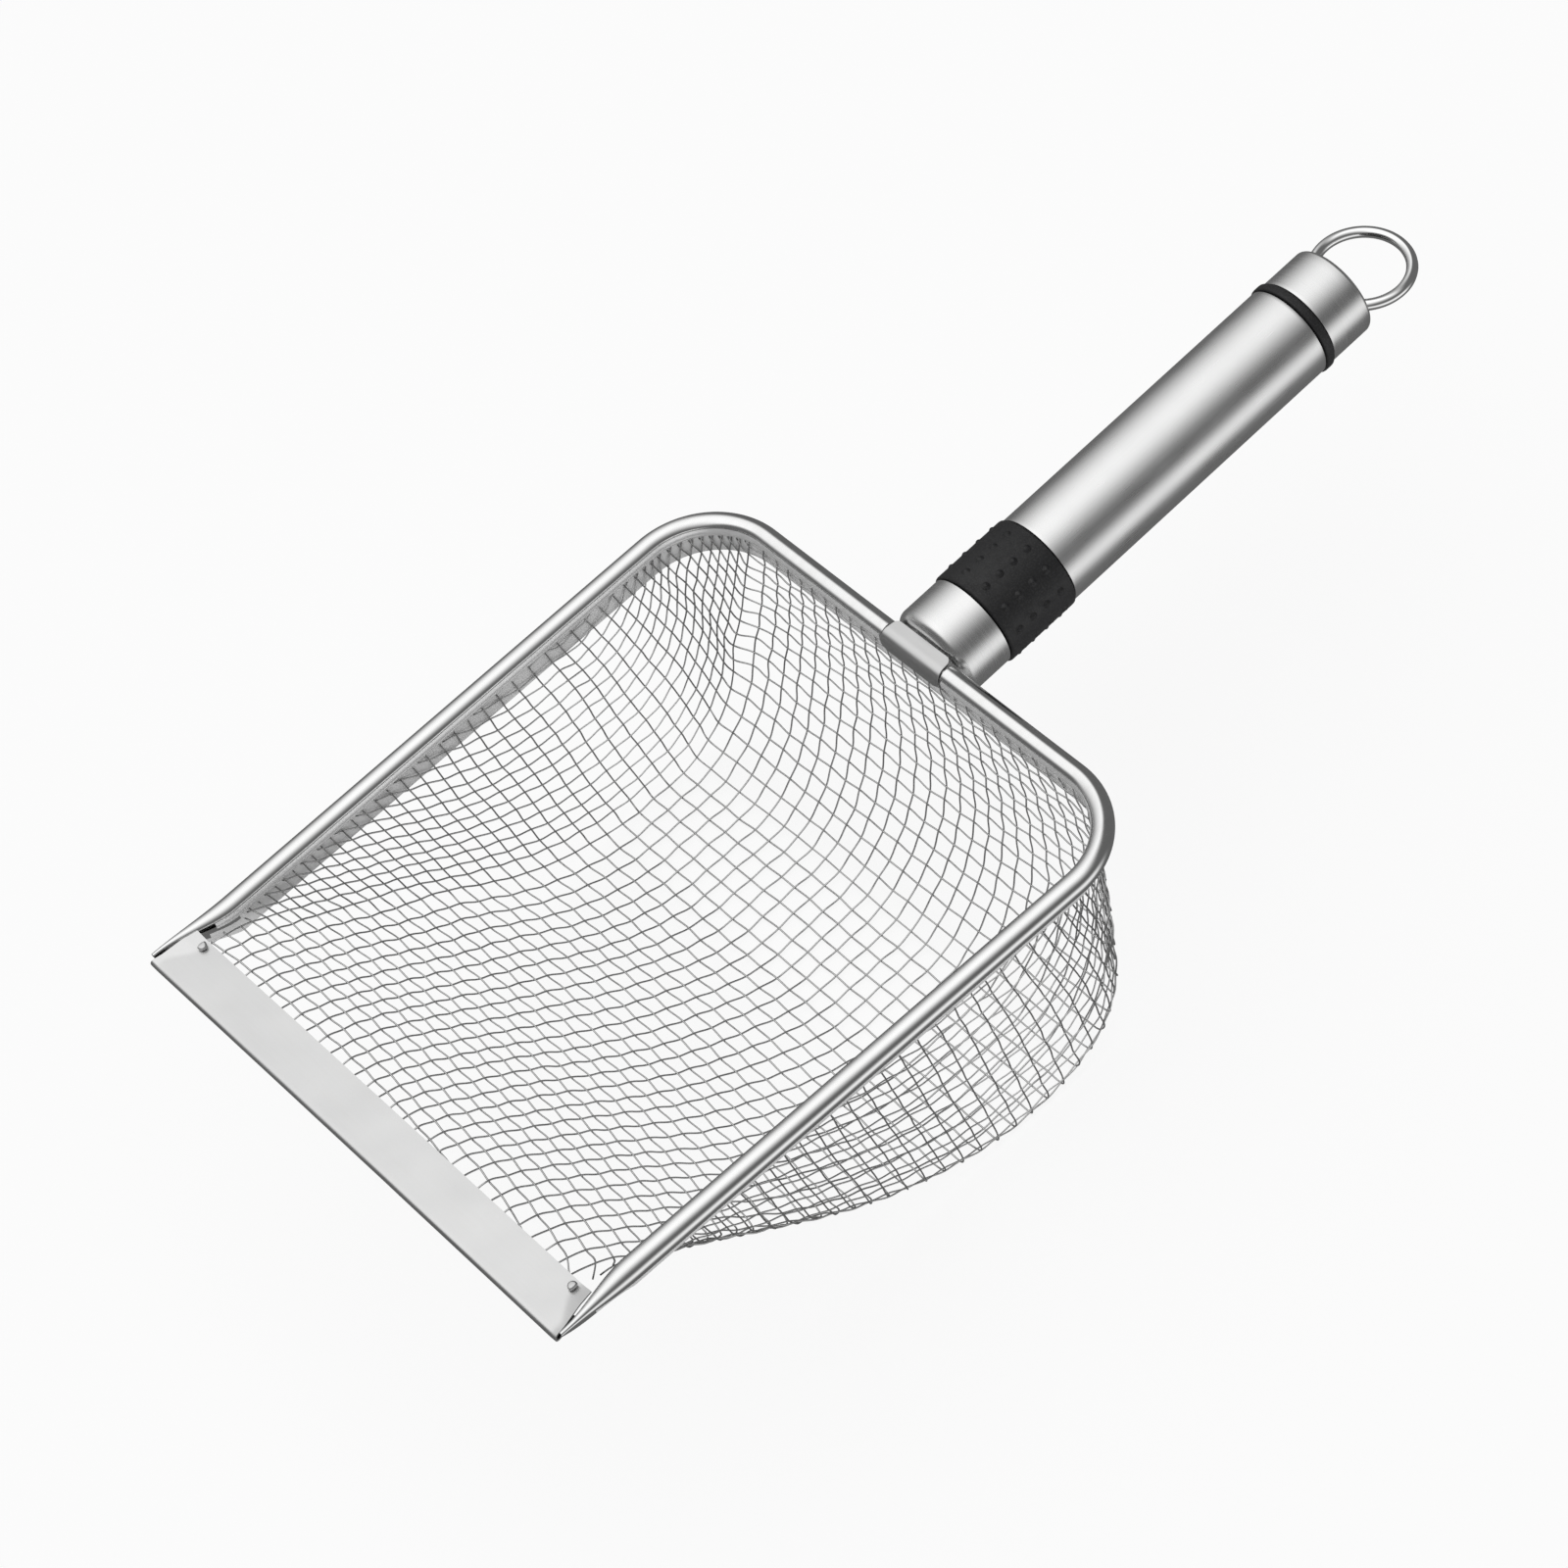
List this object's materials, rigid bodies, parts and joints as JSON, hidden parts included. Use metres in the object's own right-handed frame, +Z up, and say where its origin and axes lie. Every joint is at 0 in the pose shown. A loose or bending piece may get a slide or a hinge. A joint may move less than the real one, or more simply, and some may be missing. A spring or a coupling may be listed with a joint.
{
  "type": "soil sieve",
  "caption": "Square scoop sieve: deep woven-wire basket in a rolled steel rim with a front blade, round steel handle, rubber grip collar and a swinging hanging ring.",
  "frame": {"origin": "middle of the object's box, at the height of the basket's flat base", "axes": "+X to the right seen from the handle's end looking at the blade's back, +Y from the blade to the hanging ring, +Z up out of the basket's mouth"},
  "size_m": [0.1454, 0.3243, 0.0872],
  "materials": {
    "polished_steel": "bright drawn stainless steel with soft streaks along its length",
    "satin_steel": "satin stainless sheet, slightly wavy",
    "brushed_steel": "brushed stainless steel with fine grain round the handle",
    "wire_mesh": "woven stainless wire, 0.4 mm, at 4 to 5 mm pitch",
    "chrome_wire": "mirror-polished wire",
    "rubber": "matt black rubber with low round bumps",
    "plastic": "moulded dark plastic",
    "fastener": "zinc-plated steel"
  },
  "bodies": {
    "scoop": {"rolled_rim": "polished_steel", "clamp_lip_left": "polished_steel", "clamp_lip_right": "polished_steel", "mesh_basket": "wire_mesh", "front_blade": "satin_steel", "blade_backing_strip": "satin_steel", "corner_tab_left": "satin_steel", "corner_tab_right": "satin_steel", "rim_saddle": "satin_steel", "ferrule": "brushed_steel", "front_bush": "plastic", "grip_collar": "rubber", "handle_tube": "brushed_steel", "rear_bush": "plastic", "seal_ring": "rubber", "end_cap": "brushed_steel", "loop_plug": "plastic", "tie_rod": "fastener", "tie_washer": "fastener", "tie_nut": "fastener"},
    "loop": {"hanging_loop": "chrome_wire"}
  },
  "joints": [
    {"name": "loop_swing", "type": "hinge", "parent": "scoop", "child": "loop", "pos_m": [0, 0.13783, 0.07532], "axis": [1, 0, 0], "range_deg": [-36, 48]}
  ]
}
